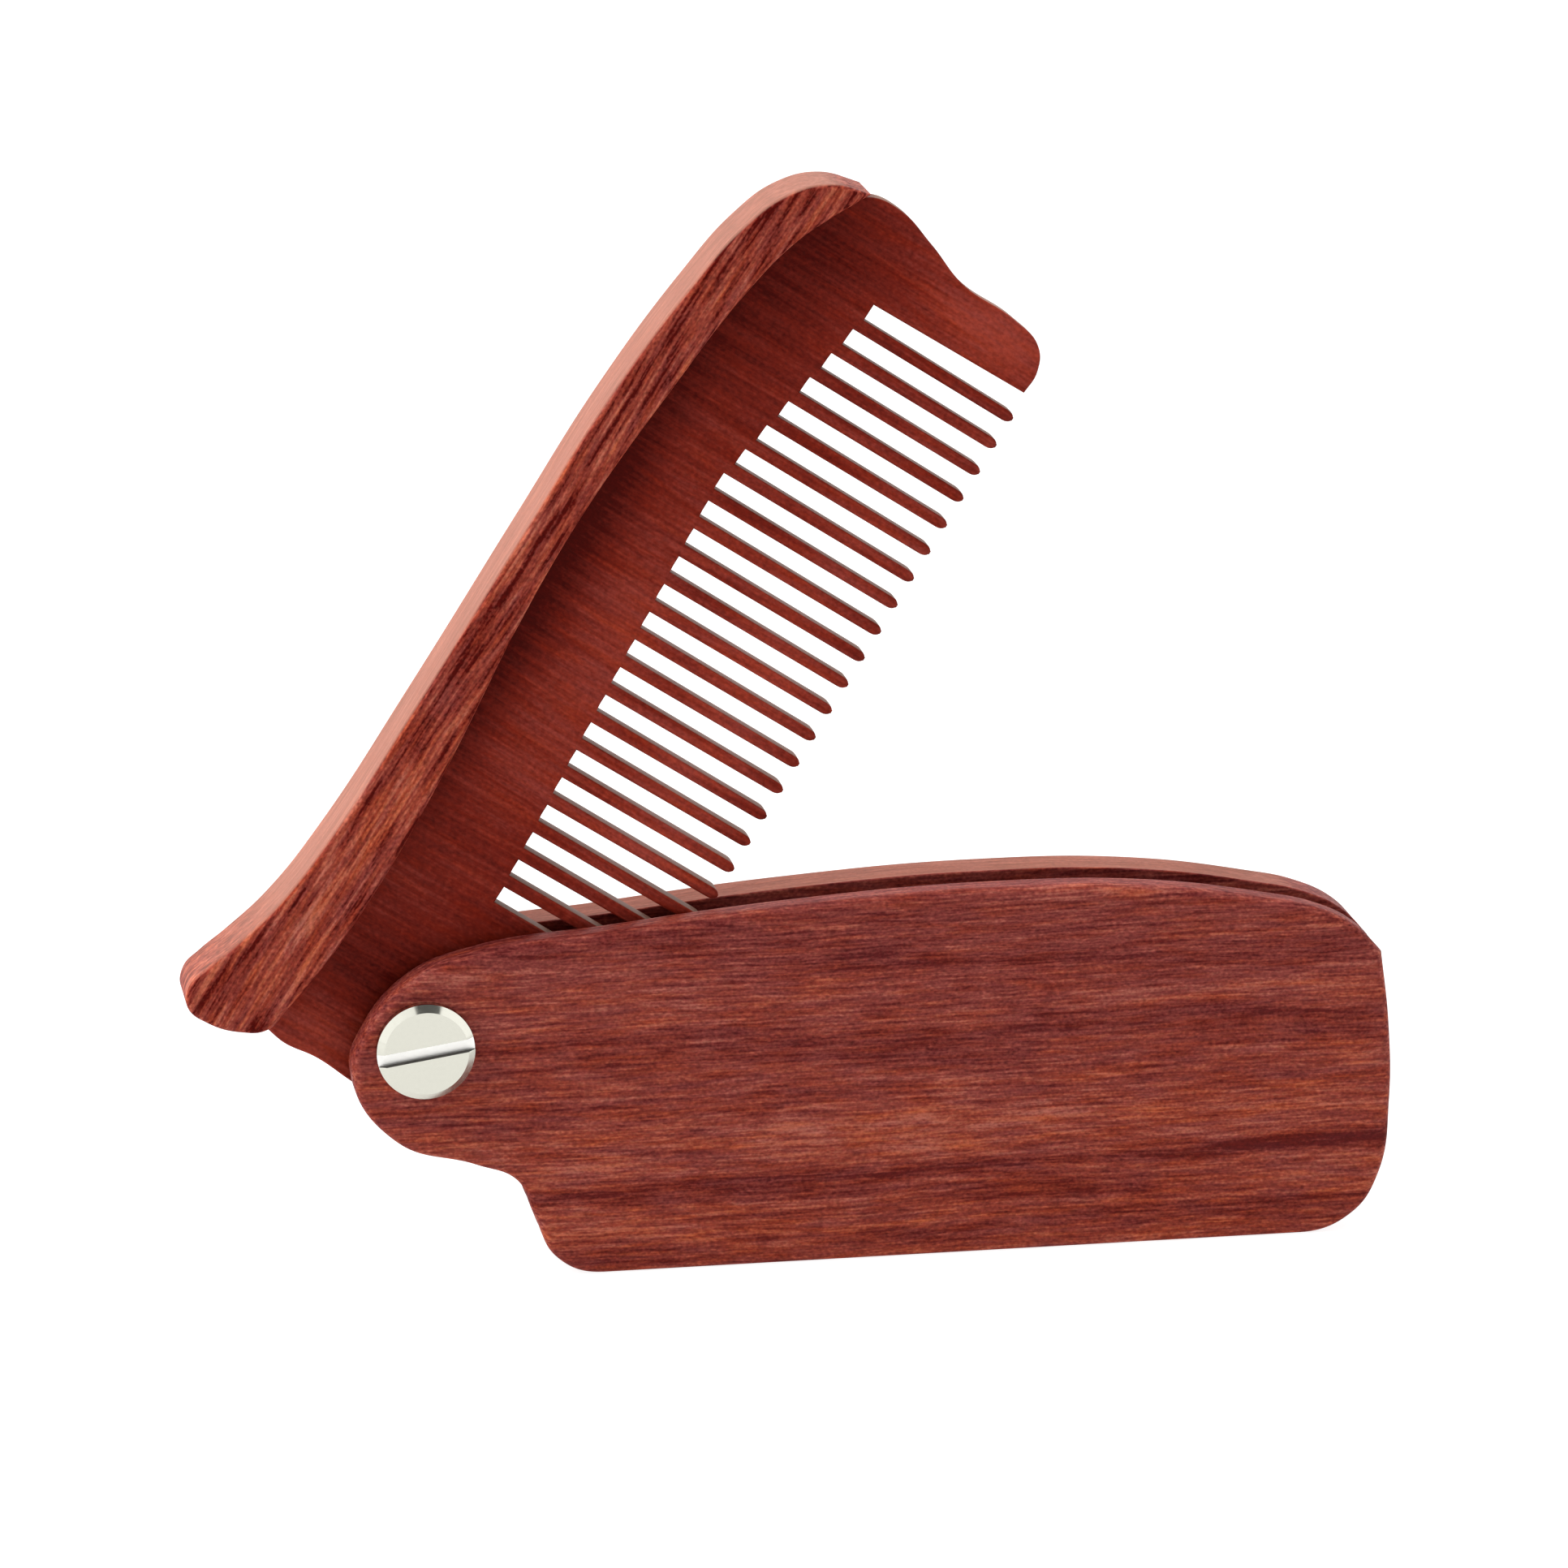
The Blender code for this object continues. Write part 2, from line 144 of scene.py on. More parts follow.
BLADE_EDGE = (
    (15.8, -17.2, "C"), (14.1, -18.3, "S"), (12.3, -16.8, "S"),
    (11.2, -12.4, "S"), (8.2, -8.8, "S"), (3.0, -7.6, "S"), (-3.6, -6.7, "S"),
    (-7.1, -2.4, "S"), (-7.5, 2.6, "S"), (-7.1, 7.8, "S"), (-7.3, 12.6, "S"),
    (-5.4, 16.6, "S"), (-1.5, 18.0, "S"), (6.0, 17.6, "S"), (16.0, 17.1, "S"),
    (40.0, 17.0, "S"), (66.0, 17.1, "S"), (80.0, 16.1, "S"), (88.0, 14.4, "S"),
    (92.8, 11.7, "S"), (96.4, 7.9, "S"), (96.9, 4.8, "S"), (95.6, -0.1, "S"),
    (93.9, -5.0, "S"), (93.6, -11.6, "S"), (92.6, -15.1, "S"),
    (90.3, -16.5, "S"), (87.85, -16.5, "C"),
)


def linear(code):
    """A hex colour as seen on screen, turned to linear RGBA."""
    parts = [int(code[i:i + 2], 16) / 255 for i in (1, 3, 5)]
    parts = [c / 12.92 if c <= 0.04045 else ((c + 0.055) / 1.055) ** 2.4
             for c in parts]
    return (*parts, 1.0)


# Settings. Sizes are in metres, and colours are given as seen on screen.

def size_setting(name, description, default):
    return FloatProperty(name=name, description=description, default=default,
                         min=0.0, precision=5, unit="LENGTH",
                         subtype="DISTANCE")


def colour_setting(name, description, code):
    return FloatVectorProperty(name=name, description=description, size=4,
                               subtype="COLOR", min=0.0, max=1.0,
                               default=linear(code))


class COMB_PG_sheath(bpy.types.PropertyGroup):
    front_rim: size_setting(
        "Front rim", "Radius of the front plate's rim", 1.0 * MM)
    back_rim: size_setting(
        "Back rim", "Radius of the back plate's rim", 0.6 * MM)
    foot_rim: size_setting(
        "Foot rim", "Radius of both rims along the foot", 0.5 * MM)
    slot_edge: size_setting(
        "Slot edge", "Radius of the edges at the slot", 0.18 * MM)
    dark: colour_setting(
        "Dark line", "Purple-brown of the dark lines", "#561612")
    brown: colour_setting(
        "Brown", "Red-brown between the lines", "#712A21")
    red: colour_setting(
        "Red", "Main colour of the plates", "#86382A")
    orange: colour_setting(
        "Orange", "Lightest bands near the foot", "#A5543D")


class COMB_PG_comb(bpy.types.PropertyGroup):
    spine_edge: size_setting(
        "Spine edge", "Radius of the spine's edges", 0.55 * MM)
    blade_edge: size_setting(
        "Blade edge", "Radius of the blade's edges", 0.3 * MM)
    tooth_width: size_setting(
        "Tooth width", "Width of a tooth at its root",
        (TOOTH_PITCH - GAP_AT_ROOT) * MM)
    tip_width: size_setting(
        "Tip width", "Width of a tooth above its tip",
        (TOOTH_PITCH - GAP_AT_TIP) * MM)
    tip_length: size_setting(
        "Tip length", "Height of a tooth's round tip", 0.9 * MM)
    tooth_pitch: size_setting(
        "Pitch", "Distance from tooth to tooth", TOOTH_PITCH * MM)
    tooth_count: IntProperty(name="Teeth", description="Number of teeth",
                             default=TOOTH_COUNT, min=1)
    spine_dark: colour_setting(
        "Spine line", "Dark lines of the spine", "#4A0602")
    spine_brown: colour_setting(
        "Spine brown", "Brown beside the lines", "#772B20")
    spine_red: colour_setting(
        "Spine red", "Main colour of the spine", "#8B3A2A")
    spine_light: colour_setting(
        "Spine light", "Lightest bands of the spine", "#A9573F")
    blade_deep: colour_setting(
        "Blade deep", "Darkest tone of the blade", "#450501")
    blade_red: colour_setting(
        "Blade red", "Main colour of the blade", "#6C1C10")
    blade_light: colour_setting(
        "Blade light", "Lightest bands of the blade", "#8F3526")


class COMB_PG_pivot(bpy.types.PropertyGroup):
    head_bevel: size_setting(
        "Head bevel", "Bevel round the screw's head", 0.7 * MM)
    slot_width: size_setting(
        "Driver slot", "Width of the driver slot", 1.3 * MM)
    slot_depth: size_setting(
        "Slot depth", "Depth of the driver slot", 0.7 * MM)
    slot_turn: FloatProperty(name="Slot turn", description="Slope of the slot",
                             default=math.radians(8.5), subtype="ANGLE")
    nickel: colour_setting(
        "Nickel", "Colour of the nickel plate", "#CBCABF")


# Node and mesh tools

def add_node(tree, kind, inputs=None, **settings):
    """Add a node, set its properties, and fill or link its inputs."""
    node = tree.nodes.new(kind)
    for key, value in settings.items():
        setattr(node, key, value)
    for key, value in (inputs or {}).items():
        if isinstance(value, bpy.types.NodeSocket):
            tree.links.new(value, node.inputs[key])
        else:
            node.inputs[key].default_value = value
    return node


def add_object(name, data):
    obj = bpy.data.objects.new(name, data)
    bpy.context.scene.collection.objects.link(obj)
    return obj


def outline_mesh(name, rows, thickness, y_middle, clear=0.0, steps=12):
    """A flat plate standing in XZ, cut to an outline, as a clean mesh.

    Walls that lie in one plane become one face, and so do walls that end less
    than the clear distance from a corner, to leave room there for a wide rim.
    """
    curve = bpy.data.curves.new(name, "CURVE")
    curve.dimensions = "2D"
    curve.fill_mode = "BOTH"
    curve.resolution_u = steps
    curve.extrude = thickness / 2
    spline = curve.splines.new("BEZIER")
    spline.use_cyclic_u = True
    spline.bezier_points.add(len(rows) - 1)
    types = {"S": "AUTO", "C": "VECTOR", "F": "ALIGNED"}
    for index, (x, z, kind) in enumerate(rows):
        point = spline.bezier_points[index]
        point.co = Vector((x, z, 0.0)) * MM
        point.handle_left_type = point.handle_right_type = types[kind]
        if kind == "F":
            before = rows[index - 1][0]
            back = Vector((
                math.copysign(FOOT_REACH, before - x) * MM, 0.0, 0.0))
            point.handle_left = point.co + back
            point.handle_right = point.co - back
    guide = add_object(name + "_outline", curve)
    mesh = evaluated_mesh(guide)
    bpy.data.objects.remove(guide, do_unlink=True)
    shape = bmesh.new()
    shape.from_mesh(mesh)
    bmesh.ops.remove_doubles(shape, verts=shape.verts, dist=0.002 * MM)
    for side in (1, -1):
        caps = [f for f in shape.faces
                if all(v.co.z * side > 0.4 * thickness for v in f.verts)]
        bmesh.ops.dissolve_faces(shape, faces=caps)
    corners = [Vector((x, z)) * MM for x, z, kind in rows if kind == "C"]
    spare = []
    for edge in shape.edges:
        start, end = (vert.co for vert in edge.verts)
        if abs(start.z - end.z) < thickness / 2:
            continue
        nearest = min([(start.xy - place).length for place in corners] or [1])
        if (edge.calc_face_angle() < math.radians(0.05)
                or 0.002 * MM < nearest < clear):
            spare.append(edge)
    bmesh.ops.dissolve_edges(shape, edges=spare, use_verts=True)
    shape.transform(Matrix.Translation((0, y_middle, 0)) @ STAND)
    bmesh.ops.recalc_face_normals(shape, faces=shape.faces)
    shape.to_mesh(mesh)
    shape.free()
    mesh.name = name
    return mesh


def evaluated_mesh(obj):
    """A plain mesh of what an object looks like with its modifiers."""
    bpy.context.view_layer.update()
    depsgraph = bpy.context.evaluated_depsgraph_get()
    return bpy.data.meshes.new_from_object(
        obj.evaluated_get(depsgraph), preserve_all_data_layers=True,
        depsgraph=depsgraph)


def bake(obj):
    """Turn an object's modifiers into its own plain mesh."""
    before = obj.data
    obj.data = evaluated_mesh(obj)
    obj.modifiers.clear()
    bpy.data.meshes.remove(before)
    obj.data.name = obj.name


def rim_widths(mesh, width_at):
    """Store each rim edge's bevel width, in shares of the widest."""
    shape = bmesh.new()
    shape.from_mesh(mesh)
    layer = shape.edges.layers.float.new("bevel_weight_edge")
    found = {}
    for edge in shape.edges:
        if len(edge.link_faces) != 2:
            continue
        wall, flat = sorted((f.normal for f in edge.link_faces),
                            key=lambda normal: abs(normal.y))
        if abs(wall.y) < 0.1 and abs(flat.y) > 0.9:
            middle = (edge.verts[0].co + edge.verts[1].co) / 2
            found[edge] = width_at(middle, wall, round(flat.y))
    widest = max(found.values())
    for edge, width in found.items():
        edge[layer] = width / widest
    shape.to_mesh(mesh)
    shape.free()
    return widest


def shade(obj, sharp_degrees, weighted=True):
    """Smooth shading with sharp corners, and flat faces that look flat."""
    obj.data.shade_smooth()
    obj.data.set_sharp_from_angle(angle=math.radians(sharp_degrees))
    if weighted:
        even = obj.modifiers.new("even_shading", "WEIGHTED_NORMAL")
        even.keep_sharp = True
        bake(obj)


def finished_plate(name, mesh, place, width_at, painted_sheen, segments=5):
    """Round a plate's rims, bake the modifiers and put it in its place."""
    widest = rim_widths(mesh, width_at)
    obj = add_object(name, mesh)
    bevel = obj.modifiers.new("rims", "BEVEL")
    bevel.width = widest
    bevel.segments = segments
    bevel.limit_method = "WEIGHT"
    bevel.use_clamp_overlap = False
    bake(obj)
    shape = bmesh.new()
    shape.from_mesh(obj.data)
    bmesh.ops.remove_doubles(shape, verts=shape.verts, dist=0.03 * MM)
    shape.to_mesh(obj.data)
    shape.free()
    shade(obj, 35)
    obj.data.transform(place)
    mark_painted_sheen(obj.data, painted_sheen)
    return obj


def mark_painted_sheen(mesh, painted_sheen):
    """Store at each corner how far its normal points the way of the painted
    sheen.
    """
    layer = mesh.attributes.new("painted_sheen", "FLOAT", "CORNER")
    layer.data.foreach_set("value", [
        max(0.0, normal.vector.dot(painted_sheen)) for normal in mesh.corner_normals])


def finish_piece(obj, material, body, slot, *nodes):
    """Give a piece its material and its body, and hide the model's nodes that
    it replaces. The slot is not used.
    """
    obj.data.materials.clear()
    obj.data.materials.append(material)
    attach(obj, body)
    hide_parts(*nodes)


# Materials

def fibre_space(tree, turn, across):
    """Places in mm from the pivot, comb folded, plain and along the grain."""
    coords = add_node(tree, "ShaderNodeTexCoord").outputs["Object"]
    turned = Euler((0.0, turn, 0.0)).to_matrix()
    local = add_node(tree, "ShaderNodeMapping", {
        "Vector": coords, "Location": -(turned @ (PIVOT / MM)),
        "Rotation": (0.0, turn, 0.0), "Scale": (1 / MM,) * 3}).outputs[0]
    grain = local
    if across:
        parts = add_node(tree, "ShaderNodeSeparateXYZ", {0: local}).outputs
        grain = add_node(tree, "ShaderNodeCombineXYZ", {
            0: parts["Z"], 1: parts["Y"], 2: parts["X"]}).outputs[0]
    # The fibres wander slowly from side to side.
    slow = add_node(tree, "ShaderNodeVectorMath", {
        0: grain, 1: (0.022, 0.05, 0.05)}, operation="MULTIPLY").outputs[0]
    drift = add_node(tree, "ShaderNodeTexNoise", {
        "Vector": slow, "Scale": 1.0, "Detail": 1.0}).outputs["Color"]
    drift = add_node(tree, "ShaderNodeVectorMath", {
        0: drift, 1: (0.0, 2.2, 2.2), 2: (0.0, -1.1, -1.1)},
        operation="MULTIPLY_ADD").outputs[0]
    grain = add_node(tree, "ShaderNodeVectorMath", {
        0: grain, 1: drift}, operation="ADD").outputs[0]
    return local, grain


def fibre_tone(tree, grain, layers):
    """The tone, dark to light, and the relief of fibres in several layers."""
    tone, heights = 0.5 - 0.5 * sum(layer[2] for layer in layers), 0.0
    for index, (length, width, weight, height) in enumerate(layers):
        drawn = add_node(tree, "ShaderNodeMapping", {
            "Vector": grain, "Location": (3.7 * index, 1.3 * index, 0.0),
            "Scale": (1 / length, 1 / width, 1 / width)}).outputs[0]
        noise = add_node(tree, "ShaderNodeTexNoise", {
            "Vector": drawn, "Scale": 1.0, "Detail": 1.0,
            "Roughness": 0.5}).outputs[0]
        tone = add_node(tree, "ShaderNodeMath", {
            0: noise, 1: weight, 2: tone},
            operation="MULTIPLY_ADD").outputs[0]
        heights = add_node(tree, "ShaderNodeMath", {
            0: noise, 1: height, 2: heights},
            operation="MULTIPLY_ADD").outputs[0]
    return tone, heights


def marked_tone(tree, tone, local, level, recipe):
    """The tone with single lines and patches laid over it."""
    for height, reach, strength in recipe["lines"]:
        away = add_node(tree, "ShaderNodeMath", {
            0: level, 1: height}, operation="SUBTRACT").outputs[0]
        away = add_node(tree, "ShaderNodeMath", {
            0: away}, operation="ABSOLUTE").outputs[0]
        share = add_node(tree, "ShaderNodeMapRange", {
            0: away, 1: 0.0, 2: reach, 3: strength, 4: 0.0},
            interpolation_type="SMOOTHSTEP").outputs[0]
        tone = add_node(tree, "ShaderNodeMath", {0: tone, 1: share}).outputs[0]
    for x, z, along, across, strength in recipe["places"]:
        away = add_node(tree, "ShaderNodeVectorMath", {
            0: local, 1: (1 / along, 0.0, 1 / across),
            2: (-x / along, 0.0, -z / across)},
            operation="MULTIPLY_ADD").outputs[0]
        away = add_node(tree, "ShaderNodeVectorMath", {
            0: away}, operation="LENGTH").outputs["Value"]
        share = add_node(tree, "ShaderNodeMapRange", {
            0: away, 1: 0.0, 2: 1.0, 3: strength, 4: 0.0},
            interpolation_type="SMOOTHSTEP").outputs[0]
        tone = add_node(tree, "ShaderNodeMath", {0: tone, 1: share}).outputs[0]
    return tone


def hardwood(name, turn, colours, recipe):
    """Oiled tropical hardwood, planed and sanded.

    It gives the eye fine fibres in red, brown and purple lines under a dull
    sheen, and paler walls that face one way: a painted sheen that stands in
    for grazing reflection.
    """
    material = bpy.data.materials.new(name)
    material.use_nodes = True
    tree = material.node_tree
    shader = tree.nodes["Principled BSDF"]
    local, grain = fibre_space(tree, turn, recipe["across"])
    parts = add_node(tree, "ShaderNodeSeparateXYZ", {0: local}).outputs
    level = add_node(tree, "ShaderNodeMath", {
        0: parts["X"], 1: recipe["rise"], 2: parts["Z"]},
        operation="MULTIPLY_ADD").outputs[0]
    tone, heights = fibre_tone(tree, grain, recipe["layers"])
    tone = marked_tone(tree, tone, local, level, recipe)

    ramp = add_node(tree, "ShaderNodeValToRGB", {0: tone})
    stops = ramp.color_ramp.elements
    while len(stops) < len(colours):
        stops.new(0.5)
    for stop, position, colour in zip(stops, recipe["stops"], colours):
        stop.position = position
        stop.color = colour
    # Pores and dust in them. Real ones are 0.1 to 0.2 mm wide; they are drawn
    # about 0.3 mm wide here, so that they show.
    pores = add_node(tree, "ShaderNodeMapping", {
        "Vector": grain, "Scale": (2.2, 3.6, 3.6)}).outputs[0]
    pores = add_node(tree, "ShaderNodeTexNoise", {
        "Vector": pores, "Scale": 1.0, "Detail": 2.0}).outputs[0]
    pores = add_node(tree, "ShaderNodeMapRange", {
        0: pores, 1: 0.25, 2: 0.75, 3: 1.0 - recipe["pores"],
        4: 1.0 + recipe["pores"]}).outputs[0]
    wood = add_node(tree, "ShaderNodeVectorMath", {
        0: ramp.outputs[0], "Scale": pores}, operation="SCALE").outputs[0]
    # Orange and purple tints drift along the grain, in strips 6 mm long and
    # 0.9 mm wide.
    tint = add_node(tree, "ShaderNodeMapping", {
        "Vector": grain, "Location": (20.0, 20.0, 0.0),
        "Scale": (1 / 6.0, 1 / 0.9, 1 / 0.9)}).outputs[0]
    tint = add_node(tree, "ShaderNodeTexNoise", {
        "Vector": tint, "Scale": 1.0, "Detail": 2.0,
        "Roughness": 0.6}).outputs[0]
    tint = add_node(tree, "ShaderNodeMath", {
        0: level, 1: recipe["purple_rise"], 2: tint},
        operation="MULTIPLY_ADD").outputs[0]
    tint = add_node(tree, "ShaderNodeMapRange", {
        0: tint, 1: recipe["purple"][0], 2: recipe["purple"][1]}).outputs[0]
    tint = add_node(tree, "ShaderNodeMix", {
        0: tint, 6: (1.08, 0.95, 0.72, 1.0), 7: (0.99, 1.20, 1.60, 1.0)},
        data_type="RGBA").outputs[2]
    wood = add_node(tree, "ShaderNodeVectorMath", {
        0: wood, 1: tint}, operation="MULTIPLY").outputs[0]
    # Painted sheen: walls that face the given way are mixed towards a paler
    # colour, which stands in for grazing reflection.
    painted_sheen = add_node(tree, "ShaderNodeAttribute",
                    attribute_name="painted_sheen").outputs["Fac"]
    painted_sheen = add_node(tree, "ShaderNodeMapRange", {
        0: painted_sheen, 1: recipe["painted_sheen"][0], 2: recipe["painted_sheen"][1], 3: 0.0,
        4: recipe["painted_sheen"][2]},
        interpolation_type="SMOOTHSTEP").outputs[0]
    reach = add_node(tree, "ShaderNodeMapRange", {
        0: parts["X"], 1: recipe["painted_sheen_past"], 2: recipe["painted_sheen_past"] + 14.0,
        3: 0.25, 4: 1.0}).outputs[0]
    painted_sheen = add_node(tree, "ShaderNodeMath", {
        0: painted_sheen, 1: reach}, operation="MULTIPLY").outputs[0]
    wood = add_node(tree, "ShaderNodeMix", {
        0: painted_sheen, 6: wood, 7: linear(recipe["pale"])},
        data_type="RGBA").outputs[2]
    tree.links.new(wood, shader.inputs["Base Color"])

    rough = add_node(tree, "ShaderNodeMapRange", {
        0: tone, 1: 0.2, 2: 0.8, 3: 0.56, 4: 0.46}).outputs[0]
    tree.links.new(rough, shader.inputs["Roughness"])
    bump = add_node(tree, "ShaderNodeBump", {
        "Height": heights, "Strength": 0.5,
        "Distance": recipe["relief"]}).outputs[0]
    tree.links.new(bump, shader.inputs["Normal"])
    shader.inputs["IOR"].default_value = 1.45
    shader.inputs["Specular IOR Level"].default_value = recipe["specular"]
    return material


# Recipes of the three woods. Lengths are in mm, with the comb folded.
# across: whether the grain runs across the piece, along the teeth
# rise: slope of the single lines; relief: depth of the grain, in metres
# purple, purple_rise: where the tint turns from orange to purple
# layers: noise drawn out along the grain, each with its length, width, weight
#     in the tone and height in the relief; coarse bands first, a fleck last
# stops: places of the colours in the tone; pores: how strong the pores are
# pale, painted_sheen, painted_sheen_past: a painted sheen standing in for
# grazing
#     reflection: its colour, how squarely walls face its way from none to
#         full,
#     the most of it, and the x where it starts
# lines: height, half width and strength
# places: patches, each with x, z, reach along x and z, and strength
SHEATH_WOOD = {
    "across": False, "rise": -0.022, "relief": 0.00003,
    "purple": (0.22, 0.62), "purple_rise": 0.005,
    "layers": ((70.0, 3.6, 0.55, 0.0), (34.0, 1.3, 0.35, 0.0),
               (9.0, 0.42, 0.85, 0.6), (3.0, 0.24, 0.85, 0.6),
               (0.4, 0.25, 0.65, 0.3)),
    "stops": (0.12, 0.36, 0.60, 0.90), "pores": 0.30, "specular": 0.07,
    "pale": "#94604A", "painted_sheen": (0.93, 0.99, 0.5), "painted_sheen_past": -40.0,
    "lines": ((-17.0, 1.6, -0.30), (-23.2, 0.6, -0.12), (-20.4, 0.4, -0.10),
              (-5.1, 1.0, -0.08), (5.2, 0.9, -0.10), (10.2, 1.4, -0.10),
              (-11.6, 5.5, 0.14), (-21.6, 3.0, 0.12)),
    "places": ((16.0, -13.8, 12.0, 1.1, 0.18), (40.0, -12.2, 16.0, 1.0, 0.12),
               (72.0, -8.2, 18.0, 1.2, 0.12), (15.0, -20.6, 12.0, 1.3, 0.15),
               (60.0, 6.0, 60.0, 12.0, -0.06), (35.0, -15.6, 22.0, 0.8, -0.10),
               (88.0, -14.8, 18.0, 0.9, -0.12)),
}
SPINE_WOOD = {
    "across": False, "rise": 0.0, "relief": 0.00003,
    "purple": (0.30, 0.70), "purple_rise": 0.0,
    "layers": ((40.0, 5.0, 0.3, 0.0), (14.0, 0.9, 1.0, 0.5),
               (6.0, 0.36, 1.4, 0.6), (0.4, 0.25, 0.6, 0.3)),
    "stops": (0.16, 0.40, 0.62, 0.90), "pores": 0.36, "specular": 0.05,
    "pale": "#9A6D5D", "painted_sheen": (0.55, 0.88, 0.72), "painted_sheen_past": -8.0,
    "lines": ((18.2, 0.5, -0.10), (16.6, 0.4, -0.10)),
    "places": ((-5.0, 19.0, 4.0, 3.5, -0.18), (10.0, 17.0, 18.0, 4.0, 0.19),
               (38.0, 17.0, 10.0, 4.0, -0.12), (70.0, 17.0, 14.0, 4.0, 0.08),
               (58.0, 17.0, 10.0, 4.0, 0.14), (88.0, 18.0, 7.0, 4.0, -0.12)),
}
BLADE_WOOD = {
    "across": True, "rise": 0.0, "relief": 0.00002,
    "purple": (0.30, 0.70), "purple_rise": 0.0,
    "layers": ((40.0, 14.0, 0.4, 0.0), (30.0, 1.0, 0.45, 0.0),
               (12.0, 0.35, 0.55, 0.4), (0.5, 0.4, 0.4, 0.2)),
    "stops": (0.05, 0.50, 0.95), "pores": 0.24, "specular": 0.06,
    "pale": "#84705F", "painted_sheen": (0.80, 0.99, 0.6), "painted_sheen_past": -40.0,
    "lines": (),
    # The long dark patch at z 16.5, reaching 60 mm along x and 8 mm across, is
    # a painted shadow of the spine on the blade.
    "places": ((94.0, -10.0, 12.0, 14.0, 0.45), (-5.0, 9.0, 9.0, 9.0, 0.26),
               (3.0, 8.0, 9.0, 9.0, -0.30), (86.0, 11.0, 16.0, 10.0, -0.32),
               (42.0, 5.0, 34.0, 9.0, 0.24), (48.0, 16.5, 60.0, 8.0, -0.62),
               (42.0, -9.0, 52.0, 12.0, 0.30)),
}


def nickel_plate(name, colour):
    """Nickel-plated steel, softly polished.

    It gives the eye a pale, faintly warm metal with clear glints, a painted
    highlight on the floor of the slot and a thread of painted shadow along its
    lower wall.
    """
    material = bpy.data.materials.new(name)
    material.use_nodes = True
    tree = material.node_tree
    shader = tree.nodes["Principled BSDF"]
    shader.inputs["Metallic"].default_value = 1.0
    # The polish leaves a haze of spots 0.4 mm across.
    coords = add_node(tree, "ShaderNodeTexCoord").outputs["Object"]
    drawn = add_node(tree, "ShaderNodeMapping", {
        "Vector": coords, "Scale": (1 / (0.4 * MM),) * 3}).outputs[0]
    haze = add_node(tree, "ShaderNodeTexNoise", {
        "Vector": drawn, "Scale": 1.0, "Detail": 2.0}).outputs[0]
    shade = add_node(tree, "ShaderNodeMix", {
        0: haze, 6: [c * 0.93 for c in colour[:3]] + [1.0], 7: colour},
        data_type="RGBA").outputs[2]
    # The floor of the slot gets a painted highlight, a brighter colour, and is
    # less shiny than the rest; a painted shadow, a dark colour, lies along its
    # lower wall.
    painted_floor_highlight = add_node(tree, "ShaderNodeAttribute",
                    attribute_name="painted_floor_highlight").outputs["Fac"]
    shade = add_node(tree, "ShaderNodeMix", {
        0: painted_floor_highlight, 6: shade, 7: linear("#F4F3EF")}, data_type="RGBA").outputs[2]
    painted_wall_shadow = add_node(tree, "ShaderNodeAttribute",
                     attribute_name="painted_wall_shadow").outputs["Fac"]
    shade = add_node(tree, "ShaderNodeMix", {
        0: painted_wall_shadow, 6: shade, 7: linear("#6A655F")}, data_type="RGBA").outputs[2]
    tree.links.new(shade, shader.inputs["Base Color"])
    rough = add_node(tree, "ShaderNodeMapRange", {
        0: haze, 1: 0.3, 2: 0.7, 3: 0.10, 4: 0.16}).outputs[0]
    rough = add_node(tree, "ShaderNodeMath", {
        0: painted_floor_highlight, 1: 0.3, 2: rough}, operation="MULTIPLY_ADD").outputs[0]
    tree.links.new(rough, shader.inputs["Roughness"])
    return material


# Operators

class COMB_OT_sheath(bpy.types.Operator):
    """Build both side plates of the sheath and the strip between them"""
    bl_idname = "comb.sheath"
    bl_label = "Build sheath"

    def execute(self, context):
        look = context.scene.comb_sheath
        wood = hardwood("oiled_bubinga_sheath", 0.0, (
            look.dark, look.brown, look.red, look.orange), SHEATH_WOOD)

        def downward(wall):
            """0 on walls that face up or sideways, 1 along the foot."""
            return min(max(-wall.z - 0.4, 0.0) / 0.6, 1.0)

        def front_width(middle, wall, side):
            down = downward(wall)
            if side > 0:
                return look.slot_edge * (2.5 - 1.5 * down)
            return look.front_rim + (look.foot_rim - look.front_rim) * down

        def back_width(middle, wall, side):
            down = downward(wall)
            if side < 0:
                return look.slot_edge
            return look.back_rim + (0.7 * look.foot_rim - look.back_rim) * down

        for name, node, low, high, width_at, painted_sheen in (
                ("front_plate", "front_scale", FRONT_LOW.y, FRONT_HIGH.y,
                 front_width, FRONT_PAINTED_SHEEN_WAY),
                ("back_plate", "back_scale", BACK_LOW.y, BACK_HIGH.y,
                 back_width, BACK_PAINTED_SHEEN_WAY)):
            mesh = outline_mesh(name, SHEATH_OUTLINE, high - low,
                                (high + low) / 2, clear=1.0 * MM)
            obj = finished_plate(name, mesh, SHEATH_PLACE, width_at, painted_sheen)
            finish_piece(obj, wood, "sheath", "sheath_wood", node)
        mesh = outline_mesh("spacer_strip", SPACER_OUTLINE,
                            BACK_LOW.y - FRONT_HIGH.y - HAIR, 0.0)
        mesh.transform(SHEATH_PLACE)
        obj = add_object("spacer_strip", mesh)
        finish_piece(obj, wood, "sheath", "sheath_wood", "spacer")
        return {"FINISHED"}


